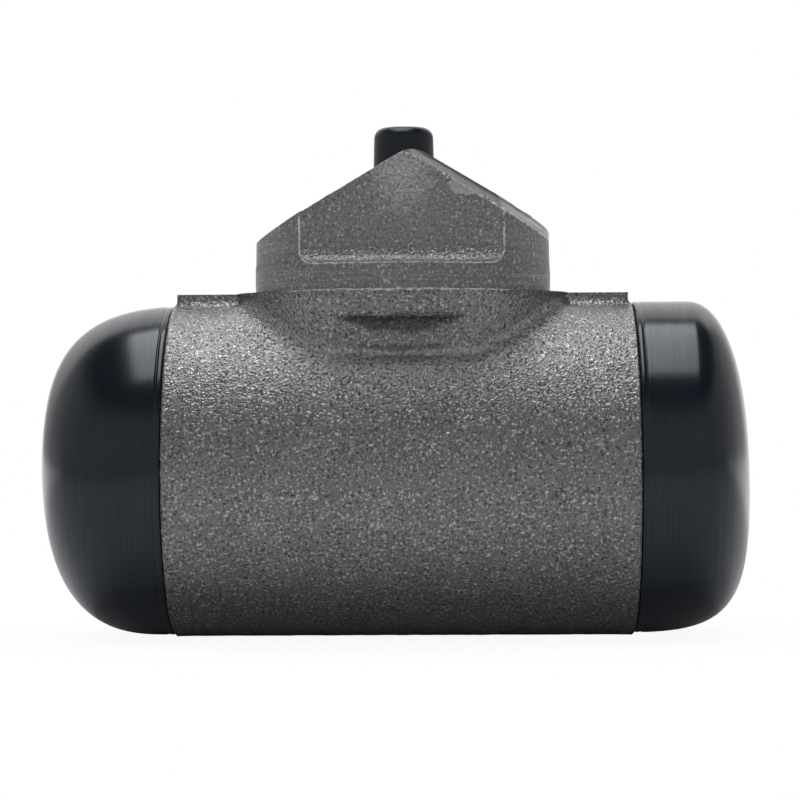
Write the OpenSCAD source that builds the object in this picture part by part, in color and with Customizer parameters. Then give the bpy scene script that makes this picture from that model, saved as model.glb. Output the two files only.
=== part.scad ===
// Drum-brake wheel cylinder. A cast barrel hangs under a round mounting seat; two sprung
// pistons push out of it through rubber boots, and the locating spigot above the seat
// carries the fluid inlet and the bleeder screw.
// The origin is the centre of the mounting face. X runs along the bore and Z runs up
// through the locating spigot, which enters the backing plate.

/* [Barrel] */
// Outside diameter of the cast barrel
barrel_d = 35.8; // [34:0.1:40]
// Length of the barrel between the two boots
barrel_l = 49.1; // [44:0.1:56]
// Height of the mounting face above the top of the barrel
rib_h = 0.95; // [0.2:0.05:1.5]
// Diameter of the bore
bore_d = 23.81; // [22:0.01:25.4]
// Step from the barrel down to the turned collar that each boot grips
collar_step = 2.8; // [2.4:0.1:3.2]
// Length of that collar
collar_l = 5; // [4.5:0.1:7]
// Width of the groove in the collar
groove_w = 2; // [1.4:0.1:2.4]
// Depth of the groove in the collar
groove_depth = 1; // [0.5:0.1:1.2]
// Edge break at the ends of the collar and bore
edge_break = 0.7; // [0.3:0.1:1]
// Edge break at the barrel's rims, beside the boots
rim_break = 0.2; // [0.1:0.05:0.7]

/* [Mounting seat] */
// Diameter of the round boss under the seat
seat_d = 36; // [35:0.1:40]
// Width of the seat across its front and back flats
seat_w = 33.4; // [32.5:0.1:35]
// Thickness of the seat's upright rim
seat_rim = 1.9; // [1.2:0.1:2.6]
// Radius of the round underside that runs from the rim into the barrel
seat_round = 5; // [4:0.1:6]
// Width of the flat rib along the top of the barrel
rib_w = 6.4; // [4:0.1:8]
// Distance of the rib's ends from the ends of the barrel
rib_inset = 0.45; // [0.2:0.05:1]
// Length of the cast hollow in the front face
hollow_l = 13; // [8:0.1:16]
// Depth of that hollow
hollow_depth = 1; // [0.4:0.1:1.6]
// Distance of that hollow below the mounting face
hollow_z = 3; // [2.5:0.1:4]

/* [Locating spigot] */
// Diameter that locates in the backing plate
pilot_d = 31.75; // [31:0.05:32]
// Height of the full round band
pilot_band = 2.8; // [2:0.1:3.4]
// Step from that band in to the round ends of the gable
gable_set_in = 0.06; // [0.04:0.01:0.3]
// Taper of those round ends, which leads the spigot into its hole
gable_lead = 1; // [0.5:0.1:3]
// Distance of the gable's front face from the centre
gable_front = 11.6; // [11:0.1:12.5]
// Distance of the gable's back face from the centre
gable_back = 2.2; // [1.5:0.1:2.6]
// Height of the gable's ridge, before rounding
ridge_z = 15.2; // [14:0.1:17]
// Sideways place of the ridge
ridge_x = 1.1; // [0:0.1:2]
// Slope of the gable's two faces
gable_slope = 30.7; // [27:0.1:32]
// Rise of the ridge and both faces towards the back
gable_rise = 1.7; // [0:0.1:3]
// Turn of the gable on the round band
gable_turn = 0.5; // [0:0.1:3]
// Radius of the ridge
ridge_r = 3; // [1:0.1:4]
// Radius of the fillet at the foot of the gable
foot_r = 2; // [1:0.1:2.4]
// Width of the bevel round the machined right face
bevel_w = 1; // [0.4:0.1:1.4]

/* [Inlet port] */
// Diameter of the port's thread
port_d = 9.6; // [8:0.1:10]
// Depth of the port
port_depth = 12; // [10:0.1:13]
// Sideways place of the port's mouth
port_x = 8.8; // [8:0.1:9.2]
// Height of the raised seat for the pipe's flare, and of the relief round it
flare_h = 1.8; // [1:0.1:2.4]
// Depth of the relief behind the thread
port_relief = 0.3; // [0.1:0.05:0.6]
// Diameter of the drilled fluid passages
passage_d = 2.6; // [1.6:0.1:3]

/* [Bleeder] */
// Distance of the bleeder behind the centre
bleeder_y = 9.6; // [9.2:0.1:10]
// Diameter of the bleeder's thread
bleeder_d = 6.35; // [5.5:0.05:7]
// Height of the bleeder's boss above the round band
boss_h = 0.8; // [0.4:0.1:2]
// Depth of the bleeder's thread below the mounting face
bleeder_depth = 5; // [4:0.1:5.4]
// Width across the flats of its hexagon
hex_af = 7.94; // [7:0.01:8.2]
// Height of its hexagon
hex_h = 5; // [4:0.1:6]
// Length of its nipple
nipple_l = 8.4; // [7:0.05:10]
// Diameter of its nipple
nipple_d = 4.9; // [4:0.1:5.2]
// Thickness of the rubber cap's wall
cap_wall = 0.8; // [0.6:0.05:1.2]
// Thickness of the rubber cap's top
cap_top = 1.2; // [0.8:0.1:2]

/* [Pistons] */
// Length of a piston
piston_l = 15; // [13:0.1:17]
// Radial clearance of the pistons in the bore
piston_gap = 0.03; // [0.02:0.01:0.05]
// Diameter of the socket for the shoe's link
socket_d = 8; // [6:0.1:9]
// Depth of the straight wall of that socket
socket_depth = 6; // [4:0.1:8]

/* [Cups and spring] */
// Length of a rubber cup
cup_l = 5.5; // [4.8:0.1:6.5]
// Thickness of a cup's back
cup_back = 2.4; // [1.8:0.1:3]
// Thickness of an expander's sheet
expander_t = 0.7; // [0.5:0.05:1]
// Mean diameter of the return spring's coil
coil_d = 10.6; // [9:0.1:11]
// Diameter of its wire
wire_d = 1.1; // [0.8:0.05:1.3]
// Number of open turns
open_turns = 6; // [4:1:7]

/* [Boots] */
// Step from the barrel down to the outside of a boot
boot_set_in = 0.15; // [0.1:0.05:0.8]
// Wall of a boot
boot_wall = 1.9; // [1.5:0.1:2.3]
// Reach of the left boot beyond the barrel, which its piston holds out further
boot_reach_left = 14.4; // [13.5:0.1:16]
// Reach of the right boot beyond the barrel
boot_reach_right = 12.4; // [12:0.1:14]
// Length of the left boot's rounded end
boot_round_left = 12.8; // [9:0.1:13]
// Length of the right boot's rounded end
boot_round_right = 7.6; // [7:0.1:9]
// Diameter of the hole for the shoe's link
boot_hole_d = 10; // [9:0.1:12]

/* [Hidden] */
$fn = 96;

barrel_r = barrel_d / 2;
barrel_end = barrel_l / 2;
axis_drop = barrel_r + rib_h;
bore_r = bore_d / 2;
collar_r = barrel_r - collar_step;
collar_end = barrel_end + collar_l;
groove_r = collar_r - groove_depth;
groove_from = barrel_end + (collar_l - groove_w) / 2;
pilot_r = pilot_d / 2;
passage_r = passage_d / 2;
overrun = 1;
far = 60;

// Radius of the gable's round ends at a height
function gable_r(z) = pilot_r - gable_set_in - (z - pilot_band) * tan(gable_lead);

// The gable's right face: its normal, and its height over a point of the spigot
right_face = [sin(gable_slope), -sin(gable_rise) * cos(gable_slope),
              cos(gable_rise) * cos(gable_slope)];
function right_face_z(x, y) = ridge_z
    - ((x - ridge_x) * right_face[0] + (y + gable_front) * right_face[1]) / right_face[2];

port_r = port_d / 2;
port_y = (gable_back - gable_front) / 2;
port_z = right_face_z(port_x, port_y);
flare_clear = 1.2;
flare_r = port_r - flare_clear;
passage_l = (port_z + axis_drop) / cos(gable_slope);

// The bleeder stands on its boss, and its cone shuts on the seat at the bottom of the hole
bleeder_gap = 0.06;
boss_margin = 0.6;
seal_w = 0.3;
hex_lift = 0.5;
shank_r = bleeder_d / 2;
hole_r = shank_r + bleeder_gap;
boss_z = pilot_band + boss_h;
boss_r = hex_af / 2 / cos(30) + boss_margin;
seat_cone_h = hole_r - passage_r;
tip_r = passage_r + seal_w;
hex_z = boss_z + hex_lift;
nipple_z = hex_z + hex_h;
nipple_end = nipple_z + nipple_l;
nipple_r = nipple_d / 2;
cap_gap = 0.05;
cap_slack = 0.2;
cap_r = nipple_r + cap_gap + cap_wall;
cap_end = nipple_end + cap_slack + cap_top;

// The boot's end is a superellipse turned about the bore: at a distance e from its tip
// the outline stands at radius r, where ((round - e) / round)^power + (r / tip)^power = 1
boot_r = barrel_r - boot_set_in;
boot_power = 2.4;
boot_hole_r = boot_hole_d / 2;
boot_fit = 0.05;
boot_step = 0.35;
boot_band = 0.7;
function dome_e(r, round, tip) = round * (1 - pow(1 - pow(r / tip, boot_power), 1 / boot_power));
function dome_r(e, round, tip) = tip * pow(1 - pow(1 - e / round, boot_power), 1 / boot_power);

// A piston at rest bears on the inside of its boot, which keeps it in
piston_r = bore_r - piston_gap;
piston_rest = 0.15;
function piston_face(reach, round) = barrel_end + reach - boot_wall - piston_rest
    - dome_e(piston_r, round - boot_wall, boot_r - boot_wall);
face_left = piston_face(boot_reach_left, boot_round_left);
face_right = piston_face(boot_reach_right, boot_round_right);
socket_r = socket_d / 2;

cup_r = bore_r - piston_gap;
cup_waist = 0.3;
lip_t = 0.9;
coil_clear = 0.3;
spring_gap = 0.1;
expander_floor_r = coil_d / 2 + wire_d / 2 + coil_clear;
expander_clear = 0.6;
cup_floor_r = expander_floor_r + expander_t + expander_clear;
function spring_seat(face) = face - piston_l - cup_back - expander_t - spring_gap;

function arc(centre, r, from, to, steps) =
    [for (i = [0 : steps]) let (a = from + (to - from) * i / steps)
        centre + r * [cos(a), sin(a)]];
function mirrored(points) =
    [for (i = [len(points) - 1 : -1 : 0]) [points[i][0], -points[i][1]]];

// Turns a profile of [radius, x] points about the bore's axis
module turned_on_bore(points)
    translate([0, 0, -axis_drop]) rotate([0, 90, 0]) rotate_extrude() polygon(points);

// Turns a profile of [radius, z] points about an upright axis
module turned_upright(points) rotate_extrude() polygon(points);

// A block that fills everything beyond a plane
module beyond(point, normal)
    translate(point)
        rotate([0, acos(normal[2] / norm(normal)), atan2(normal[1], normal[0])])
            translate([-far / 2, -far / 2, 0]) cube(far);

module barrel() {
    right_half = [
        [barrel_r, barrel_end - rim_break],
        [barrel_r - rim_break, barrel_end],
        [collar_r, barrel_end],
        [collar_r, groove_from],
        [groove_r, groove_from],
        [groove_r, groove_from + groove_w],
        [collar_r, groove_from + groove_w],
        [collar_r, collar_end - edge_break],
        [collar_r - edge_break, collar_end],
        [0, collar_end]
    ];
    turned_on_bore(concat(right_half, mirrored(right_half)));
}

module bore() {
    mouth = [[bore_r, collar_end - edge_break], [bore_r + edge_break + overrun, collar_end + overrun],
             [0, collar_end + overrun]];
    turned_on_bore(concat(mouth, mirrored(mouth)));
}

// The seat is a round boss with a bowl-shaped underside and two flats, and the rib
// carries its face on to both ends of the barrel
module seat() {
    seat_r = seat_d / 2;
    intersection() {
        turned_upright(concat(
            [[0, 0], [seat_r, 0]],
            arc([seat_r - seat_round, -seat_rim], seat_round, 0, -90, 9),
            [[0, -seat_rim - seat_round]]));
        cube([far, seat_w, far], center = true);
    }
    translate([rib_inset - barrel_end, -rib_w / 2, -axis_drop])
        cube([barrel_l - 2 * rib_inset, rib_w, axis_drop]);
}

// Spindle-shaped hollow in the seat's front flat, its radius a parabola along its length
module cast_hollow() {
    steps = 12;
    translate([0, -seat_w / 2, -hollow_z]) rotate([0, 90, 0])
        turned_upright([for (i = [0 : steps]) let (t = 2 * i / steps - 1)
            [hollow_depth * (1 - t * t), t * hollow_l / 2]]);
}

// Fillet along the foot of a wall that stands on the band's top; the wall faces -Y
module foot_fillet(wall_y)
    translate([-pilot_r, 0, 0]) rotate([90, 0, 90])
        linear_extrude(pilot_d)
            polygon(concat(
                [[-wall_y + overrun, pilot_band - overrun], [-wall_y + overrun, pilot_band + foot_r]],
                arc([-wall_y - foot_r, pilot_band + foot_r], foot_r, 0, -90, 6),
                [[-wall_y - foot_r, pilot_band - overrun]]));

module gable_section() {
    side = pilot_r + overrun;
    drop = (side - ridge_x) * tan(gable_slope);
    left_drop = (side + ridge_x) * tan(gable_slope);
    ridge = [ridge_x, ridge_z - ridge_r / cos(gable_slope)];
    polygon(concat(
        [[-side, -far], [side, -far], [side, ridge_z - drop]],
        arc(ridge, ridge_r, 90 - gable_slope, 90 + gable_slope, 8),
        [[-side, ridge_z - left_drop]]));
}

// The roof of the gable, which rises towards the back from the ridge's front end
module gable_roof()
    translate([0, -gable_front, ridge_z]) rotate([gable_rise, 0, 0]) translate([0, 0, -ridge_z])
        rotate([90, 0, 0]) linear_extrude(far, center = true) gable_section();

// Bevel along the rim of the right face, cut as planes that lean half way between
// that face and the walls below it: the flat front, then the round end, where it fades out
module right_bevel() {
    setback = bevel_w / sqrt(2);
    rim_r = gable_r(right_face_z(pilot_r, 0));
    round_from = -asin(gable_front / rim_r);
    round_to = asin(gable_back / rim_r);
    steps = 8;
    front = right_face + [0, -1, 0];
    front_rim = [port_x, -gable_front, right_face_z(port_x, -gable_front)];
    beyond(front_rim - front / norm(front) * setback, front);
    for (i = [0 : steps - 1]) {
        a = round_from + (round_to - round_from) * i / steps;
        wall = right_face + [cos(a), sin(a), 0];
        at = rim_r * [cos(a), sin(a)];
        rim = [at[0], at[1], right_face_z(at[0], at[1])];
        beyond(rim - wall / norm(wall) * setback * (1 - i / steps), wall);
    }
}

module gable() {
    difference() {
        intersection() {
            cylinder(r1 = gable_r(0), r2 = gable_r(ridge_z + foot_r), h = ridge_z + foot_r);
            union() {
                intersection() {
                    gable_roof();
                    translate([-far / 2, -gable_front, 0]) cube([far, gable_front + gable_back, far]);
                }
                foot_fillet(gable_front);
                mirror([0, 1, 0]) foot_fillet(gable_back);
            }
        }
        right_bevel();
    }
}

module locating_spigot() {
    translate([0, 0, -overrun]) cylinder(r = pilot_r, h = pilot_band + overrun);
    rotate([0, 0, gable_turn]) gable();
    translate([0, bleeder_y, 0]) cylinder(r = boss_r, h = boss_z);
}

// Tapped port square to the right face, with a raised cone for the pipe's flare
module inlet_port()
    rotate([0, 0, gable_turn]) translate([port_x, port_y, port_z])
        rotate([gable_rise, 0, 0]) rotate([0, gable_slope, 0]) {
            difference() {
                union() {
                    translate([0, 0, -port_depth]) cylinder(r = port_r, h = port_depth + far / 4);
                    translate([0, 0, -port_depth]) cylinder(r = port_r + port_relief, h = flare_h);
                }
                translate([0, 0, -port_depth - overrun])
                    cylinder(r1 = flare_r + overrun, r2 = flare_r - flare_h, h = flare_h + overrun);
            }
            translate([0, 0, -edge_break])
                cylinder(r1 = port_r, r2 = port_r + edge_break + overrun, h = edge_break + overrun);
            translate([0, 0, -passage_l]) cylinder(r = passage_r, h = passage_l);
        }

module bleeder_hole()
    translate([0, bleeder_y, 0])
        turned_upright([
            [0, boss_z + overrun], [hole_r, boss_z + overrun],
            [hole_r, -bleeder_depth], [passage_r, -bleeder_depth - seat_cone_h],
            [passage_r, -axis_drop], [0, -axis_drop]]);

module cylinder_body() {
    color([0.48, 0.48, 0.49])
        difference() {
            union() {
                barrel();
                seat();
                locating_spigot();
            }
            bore();
            cast_hollow();
            inlet_port();
            bleeder_hole();
        }
}

// Pieces of one side are drawn on the right and mirrored for the left
module on_side(side) if (side > 0) children(); else mirror([1, 0, 0]) children();

module piston(face)
    turned_on_bore([
        [0, face - piston_l],
        [piston_r - edge_break / 2, face - piston_l],
        [piston_r, face - piston_l + edge_break / 2],
        [piston_r, face - edge_break],
        [piston_r - edge_break, face],
        [socket_r + edge_break, face],
        [socket_r, face - edge_break],
        [socket_r, face - edge_break - socket_depth],
        [0, face - edge_break - socket_depth - socket_r / 2]]);

// Cup seal: a flat back on the piston, and a lip that opens towards the fluid
module cup(face) {
    back = face - piston_l;
    floor_x = back - cup_back;
    lip_x = back - cup_l;
    turned_on_bore([
        [0, back], [cup_r - edge_break, back], [cup_r - cup_waist, back - edge_break],
        [cup_r - cup_waist, floor_x], [cup_r, lip_x], [cup_r - lip_t, lip_x],
        [cup_floor_r, floor_x], [0, floor_x]]);
}

// Dished sheet that keeps the cup's lip spread and carries the end of the spring
module expander(face) {
    lip_share = 0.7;
    lip_clear = 2.1;
    floor_x = face - piston_l - cup_back;
    top_x = floor_x - (cup_l - cup_back) * lip_share;
    outer = expander_floor_r + expander_t;
    flare = cup_r - lip_t - lip_clear;
    turned_on_bore([
        [passage_r, floor_x], [outer, floor_x], [flare, top_x],
        [flare - expander_t, top_x], [expander_floor_r, floor_x - expander_t],
        [passage_r, floor_x - expander_t]]);
}

// The spring's wire is swept round a helix that closes up into a dead turn at each end
module return_spring() {
    from = -spring_seat(face_left) + wire_d / 2;
    to = spring_seat(face_right) - wire_d / 2;
    dead_turn = 1;
    turns = open_turns + 2 * dead_turn;
    dead_gap = 0.033;
    dead_pitch = wire_d + dead_gap;
    open_pitch = (to - from - 2 * dead_turn * dead_pitch) / open_turns;
    rings_per_turn = 20;
    rings = turns * rings_per_turn;
    sides = 8;
    function wire_x(t) = from + dead_pitch * min(t, dead_turn)
        + open_pitch * max(0, min(t - dead_turn, open_turns))
        + dead_pitch * max(0, t - dead_turn - open_turns);
    points = [for (i = [0 : rings]) let (t = turns * i / rings, a = 360 * t)
        for (j = [0 : sides - 1]) let (b = 360 * j / sides, r = coil_d / 2 + wire_d / 2 * cos(b))
            [wire_x(t) + wire_d / 2 * sin(b), r * cos(a), r * sin(a) - axis_drop]];
    skin = [for (i = [0 : rings - 1], j = [0 : sides - 1]) let (k = (j + 1) % sides)
        each [[i * sides + j, i * sides + k, (i + 1) * sides + k],
              [i * sides + j, (i + 1) * sides + k, (i + 1) * sides + j]]];
    first_end = [[for (j = [sides - 1 : -1 : 0]) j]];
    last_end = [[for (j = [0 : sides - 1]) rings * sides + j]];
    color([0.62, 0.62, 0.6])
        polyhedron(points, concat(skin, first_end, last_end));
}

// Moulded boot: a rim that butts on the barrel, a bead in the collar's groove, a straight
// skirt, and a domed end with a lipped hole
module boot(reach, round) {
    tip = barrel_end + reach;
    inner_r = boot_r - boot_wall;
    inner_tip = tip - boot_wall;
    inner_round = round - boot_wall;
    rim_x = barrel_end + boot_fit;
    cavity_x = collar_end + boot_fit + edge_break;
    outer_from = dome_e(boot_hole_r, round, boot_r);
    inner_from = dome_e(boot_hole_r, inner_round, inner_r);
    inner_to = min(inner_round, inner_tip - cavity_x);
    steps = 14;
    outer_dome = [for (i = [0 : steps])
        let (e = outer_from + (round - outer_from) * pow(i / steps, 2))
            [dome_r(e, round, boot_r), tip - e]];
    inner_dome = [for (i = [steps : -1 : 0])
        let (e = inner_from + (inner_to - inner_from) * pow(i / steps, 2))
            [dome_r(e, inner_round, inner_r), inner_tip - e]];
    grip_r = collar_r + boot_fit;
    bead_r = groove_r + boot_fit;
    turned_on_bore(concat(
        outer_dome,
        [[boot_r, rim_x + boot_band + boot_step], [boot_r - boot_step, rim_x + boot_band],
         [boot_r - boot_step / 2, rim_x],
         [grip_r, rim_x],
         [grip_r, groove_from + boot_fit], [bead_r, groove_from + boot_fit],
         [bead_r, groove_from + groove_w - boot_fit], [grip_r, groove_from + groove_w - boot_fit],
         [grip_r, collar_end + boot_fit]],
        inner_dome));
}

module bleeder_screw() {
    axial_r = passage_r * 0.7;
    pin_r = shank_r - 0.5;
    pin_l = 1.4;
    thread_lead = 0.5;
    neck_r = nipple_r * 0.8;
    neck_l = 1.2;
    bead_l = 1.6;
    bead_lead = 0.8;
    bead_run = 1.4;
    nose_l = 1.8;
    nose_step = 0.4;
    tip_z = -bleeder_depth - seat_cone_h + seal_w + 2 * bleeder_gap;
    cone_end = tip_z + pin_r - tip_r;
    thread_z = cone_end + pin_l;
    bead_z = nipple_z + neck_l + bead_lead;
    color([0.7, 0.68, 0.6])
        translate([0, bleeder_y, 0])
            difference() {
                union() {
                    turned_upright([
                        [0, tip_z], [tip_r, tip_z], [pin_r, cone_end],
                        [pin_r, thread_z], [shank_r, thread_z + thread_lead],
                        [shank_r, hex_z + overrun],
                        [neck_r, hex_z + overrun], [neck_r, nipple_z + neck_l],
                        [nipple_r, bead_z], [nipple_r, bead_z + bead_l],
                        [neck_r, bead_z + bead_l + bead_run], [neck_r, nipple_end - nose_l - nose_step],
                        [nipple_r, nipple_end - nose_l], [neck_r, nipple_end], [0, nipple_end]]);
                    intersection() {
                        translate([0, 0, hex_z]) cylinder(d = hex_af / cos(30), h = hex_h, $fn = 6);
                        translate([0, 0, hex_z])
                            cylinder(r1 = hex_af / 2 + hex_h, r2 = hex_af / 2, h = hex_h);
                    }
                }
                translate([0, 0, cone_end + pin_l / 2]) cylinder(r = axial_r, h = far);
                translate([0, 0, cone_end + pin_l / 2]) rotate([0, 90, 0])
                    cylinder(r = axial_r, h = far, center = true);
            }
}

// Rubber dust cap: a thimble with a round shoulder and a slight taper
module bleeder_cap() {
    inner_r = nipple_r + cap_gap;
    taper = 0.18;
    shoulder = 1;
    foot_z = nipple_z + cap_gap;
    color([0.12, 0.12, 0.13])
        translate([0, bleeder_y, 0])
            turned_upright(concat(
                [[inner_r, foot_z], [cap_r + taper, foot_z]],
                arc([cap_r - shoulder, cap_end - shoulder], shoulder, 0, 90, 6),
                [[0, cap_end], [0, cap_end - cap_top], [inner_r, cap_end - cap_top]]));
}

module piston_left() color([0.78, 0.79, 0.8]) on_side(-1) piston(face_left);
module piston_right() color([0.78, 0.79, 0.8]) on_side(1) piston(face_right);
module cup_left() color([0.1, 0.1, 0.11]) on_side(-1) cup(face_left);
module cup_right() color([0.1, 0.1, 0.11]) on_side(1) cup(face_right);
module expander_left() color([0.66, 0.63, 0.5]) on_side(-1) expander(face_left);
module expander_right() color([0.66, 0.63, 0.5]) on_side(1) expander(face_right);
module boot_left() color([0.14, 0.15, 0.17]) on_side(-1) boot(boot_reach_left, boot_round_left);
module boot_right() color([0.14, 0.15, 0.17]) on_side(1) boot(boot_reach_right, boot_round_right);

cylinder_body();
piston_left();
piston_right();
cup_left();
cup_right();
expander_left();
expander_right();
return_spring();
boot_left();
boot_right();
bleeder_screw();
bleeder_cap();
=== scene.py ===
# Looks of the drum-brake wheel cylinder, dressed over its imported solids.
# Lengths are written in millimetres in the solids' own frame and turned into metres by MM:
# the origin is the centre of the mounting face, X runs along the bore and Z up the spigot.
import math

import bmesh
import bpy
import numpy as np
from mathutils import Matrix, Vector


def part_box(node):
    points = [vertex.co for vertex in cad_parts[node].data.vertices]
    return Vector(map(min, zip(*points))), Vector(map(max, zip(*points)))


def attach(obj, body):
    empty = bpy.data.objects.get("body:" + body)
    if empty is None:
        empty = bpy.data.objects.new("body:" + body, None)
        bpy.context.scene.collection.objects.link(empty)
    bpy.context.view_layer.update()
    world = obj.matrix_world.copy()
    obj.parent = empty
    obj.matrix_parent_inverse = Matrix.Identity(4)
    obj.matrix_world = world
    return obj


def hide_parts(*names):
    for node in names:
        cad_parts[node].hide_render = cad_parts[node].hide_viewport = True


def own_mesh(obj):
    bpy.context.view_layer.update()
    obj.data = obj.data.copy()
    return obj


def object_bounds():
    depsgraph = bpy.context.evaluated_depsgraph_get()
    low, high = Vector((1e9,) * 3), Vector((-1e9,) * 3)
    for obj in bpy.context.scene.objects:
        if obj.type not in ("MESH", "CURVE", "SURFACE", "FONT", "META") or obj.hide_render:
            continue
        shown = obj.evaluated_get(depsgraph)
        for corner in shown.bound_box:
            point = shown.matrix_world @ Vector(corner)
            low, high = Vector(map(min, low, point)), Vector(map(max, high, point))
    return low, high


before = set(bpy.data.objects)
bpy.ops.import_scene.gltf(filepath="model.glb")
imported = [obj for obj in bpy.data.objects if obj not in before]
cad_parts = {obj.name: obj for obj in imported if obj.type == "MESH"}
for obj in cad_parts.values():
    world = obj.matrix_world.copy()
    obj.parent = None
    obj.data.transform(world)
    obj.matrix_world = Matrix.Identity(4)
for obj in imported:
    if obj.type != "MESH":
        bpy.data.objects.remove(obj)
cad_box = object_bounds()
scene = bpy.context.scene
scene.view_settings.view_transform = "Standard"
MM = 0.001

# Casting
# The body is one iron casting, sand-rough all over. Its spigot, mounting face, inlet face and
# ends are turned or milled afterwards, so those stay smooth and their edges stay sharp.
AXIS_Z = -18.85
BARREL_R = 17.9
BARREL_END = 24.55
BORE_R = 11.905
COLLAR_R = 15.1
GROOVE_R = COLLAR_R - 1
PILOT_R = 15.875
PILOT_BAND = 2.8
GABLE_R = PILOT_R - 0.06
GABLE_LEAD = math.tan(math.radians(1))
GABLE_FRONT = 11.6
GABLE_TURN = math.radians(0.5)
RIDGE = np.array([1.1, -GABLE_FRONT, 15.2])
SLOPE = math.radians(30.7)
RISE = math.radians(1.7)
RIGHT_FACE = np.array([math.sin(SLOPE), -math.sin(RISE) * math.cos(SLOPE),
                       math.cos(RISE) * math.cos(SLOPE)])
PORT_MOUTH = np.array([8.8, -4.7, 10.8308])
PORT_R = 4.8
BLEEDER_Y = 9.6
SKIN_CELL = 0.43


def even_skin(node, cell):
    """The node's solid as an even net of quads: its triangles are merged, then a cubic grid of
    the given cell is laid over it and each crossed cell gets one corner on the surface."""
    mesh = node.data.copy()
    net = bmesh.new()
    net.from_mesh(mesh)
    bmesh.ops.remove_doubles(net, verts=net.verts, dist=2e-6)
    net.to_mesh(mesh)
    net.free()
    trial = bpy.data.objects.new("trial", mesh)
    scene.collection.objects.link(trial)
    remesh = trial.modifiers.new("even", "REMESH")
    remesh.mode = "SHARP"
    remesh.octree_depth = 8
    remesh.use_remove_disconnected = False
    low, high = (np.array(corner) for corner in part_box(node.name))
    remesh.scale = float((high - low).max()) / (cell * MM * 2 ** remesh.octree_depth)
    skin = bpy.data.meshes.new_from_object(trial.evaluated_get(bpy.context.evaluated_depsgraph_get()))
    bpy.data.objects.remove(trial)
    return skin


def points_of(mesh):
    """The mesh's points in millimetres, one row each."""
    flat = np.empty(len(mesh.vertices) * 3)
    mesh.vertices.foreach_get("co", flat)
    return flat.reshape(-1, 3) / MM


def lattice_noise(points, size):
    """Smooth random height from 0 to 1: values hashed at the corners of a cubic lattice of the
    given size, blended between the eight corners by the quintic 6t^5 - 15t^4 + 10t^3."""
    cell = np.floor(points / size)
    t = points / size - cell
    t = t ** 3 * (t * (6 * t - 15) + 10)
    total = np.zeros(len(points))
    for corner in np.ndindex(2, 2, 2):
        step = np.array(corner)
        hashed = np.sin((cell + step) @ (12.9898, 78.233, 37.719)) * 43758.5453
        share = np.prod(np.where(step == 1, t, 1 - t), axis=1)
        total += share * (hashed - np.floor(hashed))
    return total


def gable_frame(points):
    """Points in the gable's own frame, which is turned a little on the round band."""
    c, s = math.cos(GABLE_TURN), math.sin(GABLE_TURN)
    x, y, z = points.T
    return np.stack([c * x + s * y, c * y - s * x, z], axis=1)


def ramp(values, low, high):
    """Share that goes straight from 0 at low to 1 at high; high may be the smaller."""
    return np.clip((values - low) / (high - low), 0, 1)


skin = even_skin(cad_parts["cylinder_body"], SKIN_CELL)
p = points_of(skin)
edge_ends = np.empty(len(skin.edges) * 2, int)
skin.edges.foreach_get("vertices", edge_ends)
edge_a, edge_b = edge_ends.reshape(-1, 2).T


def neighbour_mean(values):
    """Mean of a value over each point's neighbours along the net's edges."""
    count = np.bincount(edge_a, minlength=len(values)) + np.bincount(edge_b, minlength=len(values))
    total = np.bincount(edge_a, values[edge_b], len(values))
    total += np.bincount(edge_b, values[edge_a], len(values))
    return total / np.maximum(count, 1)


# Round surfaces are put back on their true radius, which the solid's flat facets cut short
def on_radius(points, across, centre, radius, within):
    """Points whose distance r from an axis is within a little of the radius, moved out to it."""
    offset = points[:, across] - centre
    r = np.hypot(*offset.T)
    near = np.abs(r - radius) < within
    moved = offset * (radius / np.maximum(r, 1e-9))[:, None] + centre
    points[:, across] = np.where(near[:, None], moved, points[:, across])


for true_r in (BARREL_R, COLLAR_R, GROOVE_R, BORE_R):
    on_radius(p, [1, 2], np.array([0, AXIS_Z]), true_r, 0.04)
on_radius(p, [0, 1], np.zeros(2), PILOT_R, 0.03)
on_radius(p, [0, 1], np.zeros(2), GABLE_R - (p[:, 2] - PILOT_BAND) * GABLE_LEAD, 0.025)

# How far the tools' cuts reach: round the bore, in from the ends, off the mounting face, round the
# spigot, below the inlet face, round the port and down it, and on the bleeder's boss and hole
CUT_BORE_R = 13.2
CUT_END = 0.45
CUT_FACE = 0.03
CUT_SPIGOT_R = 15.55
CUT_INLET = 0.9
CUT_INLET_Z = 5
CUT_PORT_R = PORT_R + 0.9
CUT_PORT_DEPTH = 13
CUT_PORT_PROUD = 0.1
CUT_BOSS_R = 5.3
CUT_HOLE_R = 3.6
BOSS_LOW = 2.9
BOSS_HIGH = 3.7

g = gable_frame(p)
r_bore = np.hypot(p[:, 1], p[:, 2] - AXIS_Z)
r_spigot = np.hypot(p[:, 0], p[:, 1])
r_bleeder = np.hypot(p[:, 0], p[:, 1] - BLEEDER_Y)
above_right = (g - RIDGE) @ RIGHT_FACE
into_port = g - PORT_MOUTH
port_depth = into_port @ RIGHT_FACE
r_port = np.linalg.norm(into_port - port_depth[:, None] * RIGHT_FACE, axis=1)
turned = (r_bore < CUT_BORE_R) | (np.abs(p[:, 0]) > BARREL_END - CUT_END) | (np.abs(p[:, 2]) < CUT_FACE)
turned |= (p[:, 2] > 0) & (r_spigot > CUT_SPIGOT_R)
turned |= (above_right > -CUT_INLET) & (p[:, 2] > CUT_INLET_Z)
turned |= (r_port < CUT_PORT_R) & (port_depth < CUT_PORT_PROUD) & (port_depth > -CUT_PORT_DEPTH)
turned |= (r_bleeder < CUT_BOSS_R) & (p[:, 2] < BOSS_HIGH) & (p[:, 2] > BOSS_LOW)
turned |= (r_bleeder < CUT_HOLE_R) & (p[:, 2] < BOSS_HIGH)
cast = 1.0 - turned
cast = np.minimum(cast, neighbour_mean(cast))

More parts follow.
